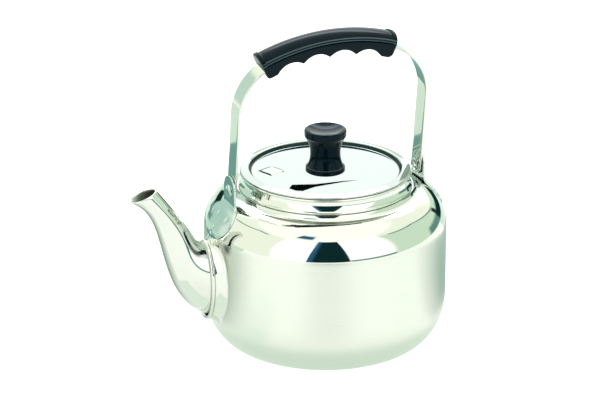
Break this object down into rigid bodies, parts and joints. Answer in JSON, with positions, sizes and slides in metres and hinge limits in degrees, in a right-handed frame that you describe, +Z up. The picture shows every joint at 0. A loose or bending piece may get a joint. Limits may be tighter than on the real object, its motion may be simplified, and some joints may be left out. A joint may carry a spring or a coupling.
{
  "type": "stovetop kettle",
  "caption": "Round-shouldered steel stovetop kettle with a swept side spout, a lift-off lid with a waisted knob, and a swinging bail handle with a moulded finger grip.",
  "frame": {"origin": "centre of the flat base, on the surface that the kettle stands on", "axes": "+Z up; -X towards the spout; the handle swings about an axis along X and leans towards -Y at rest"},
  "size_m": [0.272, 0.2, 0.2714],
  "materials": {
    "satin_steel": "satin, fine circumferential polish",
    "polished_steel": "mirror-polished stainless steel",
    "ear_steel": "bright pressed stainless steel",
    "black_plastic": "moulded black phenolic, semi-gloss",
    "brass": "turned"
  },
  "bodies": {
    "pot": {"pot_shell": "satin_steel", "shoulder_shell": "polished_steel", "neck_ring": "polished_steel", "spout": "polished_steel", "spout_collar": "polished_steel", "spout_bead": "polished_steel", "front_ear": "ear_steel", "rear_ear": "ear_steel", "front_pivot_rivet": "ear_steel", "rear_pivot_rivet": "ear_steel"},
    "bail": {"bail_strap": "polished_steel", "front_pivot_washer": "ear_steel", "rear_pivot_washer": "ear_steel", "grip_top": "black_plastic", "grip_bottom": "black_plastic", "grip_screws": "ear_steel"},
    "lid": {"lid_pan": "polished_steel", "lid_collar": "polished_steel", "lid_knob": "black_plastic", "knob_insert": "brass", "knob_washer": "ear_steel", "knob_screw": "ear_steel", "whistle_cup": "polished_steel", "whistle_disc": "polished_steel"}
  },
  "joints": [
    {"name": "handle_swing", "type": "hinge", "parent": "pot", "child": "bail", "pos_m": [0, 0, 0.14], "axis": [1, 0, 0], "range_deg": [-105.5, 90.5]},
    {"name": "lid_lift", "type": "slide", "parent": "pot", "child": "lid", "axis": [0, 0, 1], "range_m": [0, 0.055]}
  ]
}
